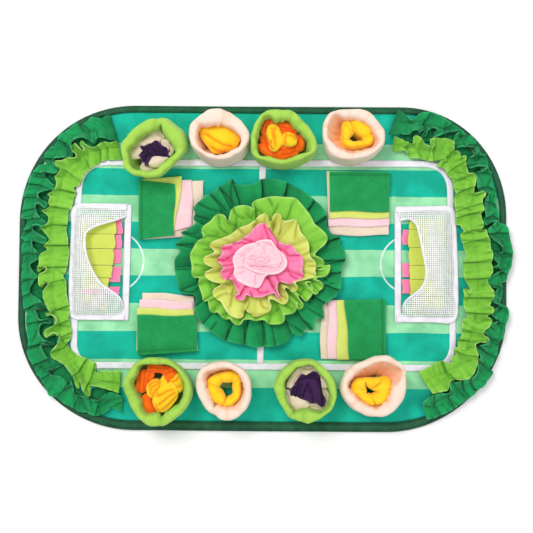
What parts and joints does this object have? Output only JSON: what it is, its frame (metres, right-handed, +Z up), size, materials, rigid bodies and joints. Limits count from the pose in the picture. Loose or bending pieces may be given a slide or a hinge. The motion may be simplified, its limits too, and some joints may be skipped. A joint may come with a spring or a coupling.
{
  "type": "snuffle mat",
  "caption": "Rounded rectangular snuffle mat with a bound printed base, gathered fleece ruffles, cups, flaps, a layered fleece flower and net pockets.",
  "frame": {"origin": "middle of the mat's flat underside", "axes": "+X along the long side, +Y along the short side towards the far long side, +Z up out of the mat"},
  "size_m": [0.7561, 0.4988, 0.0585],
  "materials": {
    "printed_cloth": "printed woven cloth, matt, teal and light green stripes",
    "binding": "woven tape, satin",
    "white_tape": "woven tape, satin",
    "white_net": "fine open net",
    "green_fleece": "brushed fleece",
    "lime_fleece": "brushed fleece",
    "cup_lime_fleece": "brushed fleece",
    "cream_fleece": "brushed fleece",
    "beige_fleece": "brushed fleece",
    "yellow_green_fleece": "brushed fleece",
    "pink_fleece": "brushed fleece",
    "hot_pink_fleece": "brushed fleece",
    "yellow_fleece": "brushed fleece",
    "orange_fleece": "brushed fleece",
    "purple_fleece": "brushed fleece"
  },
  "bodies": {
    "root": {"base_mat": "printed_cloth", "edge_binding": "binding", "tape_pitch_outline": "white_tape", "tape_centre_line": "white_tape", "tape_goal_left": "white_tape", "tape_goal_right": "white_tape", "net_left": "white_net", "tabs_yellow_left": "yellow_green_fleece", "tabs_pink_left": "hot_pink_fleece", "net_right": "white_net", "tabs_yellow_right": "yellow_green_fleece", "tabs_pink_right": "hot_pink_fleece", "flap_far_left_green": "green_fleece", "flap_far_left_yellow": "yellow_green_fleece", "flap_far_left_pink": "pink_fleece", "flap_far_left_beige": "beige_fleece", "flap_far_right_green": "green_fleece", "flap_far_right_yellow": "yellow_green_fleece", "flap_far_right_pink": "pink_fleece", "flap_far_right_beige": "beige_fleece", "flap_near_left_green": "green_fleece", "flap_near_left_yellow": "yellow_green_fleece", "flap_near_left_pink": "pink_fleece", "flap_near_left_beige": "beige_fleece", "flap_near_right_green": "green_fleece", "flap_near_right_yellow": "yellow_green_fleece", "flap_near_right_pink": "pink_fleece", "flap_near_right_beige": "beige_fleece", "cup_1": "cup_lime_fleece", "cup_2": "cream_fleece", "cup_3": "cup_lime_fleece", "cup_4": "cream_fleece", "cup_5": "cup_lime_fleece", "cup_6": "cream_fleece", "cup_7": "cup_lime_fleece", "cup_8": "cream_fleece", "petals_1": "beige_fleece", "bud_1": "purple_fleece", "petals_3": "orange_fleece", "bud_3": "yellow_fleece", "petals_5": "orange_fleece", "bud_5": "yellow_fleece", "petals_7": "beige_fleece", "bud_7": "purple_fleece", "roll_2": "yellow_fleece", "roll_4": "yellow_fleece", "roll_6": "yellow_fleece", "roll_8": "yellow_fleece", "flower_green": "green_fleece", "flower_lime": "lime_fleece", "flower_yellow": "yellow_green_fleece", "flower_pink": "hot_pink_fleece", "flower_rose": "pink_fleece", "ruffle_green_left": "green_fleece", "ruffle_lime_left": "lime_fleece", "ruffle_green_right": "green_fleece", "ruffle_lime_right": "lime_fleece"}
  },
  "joints": []
}
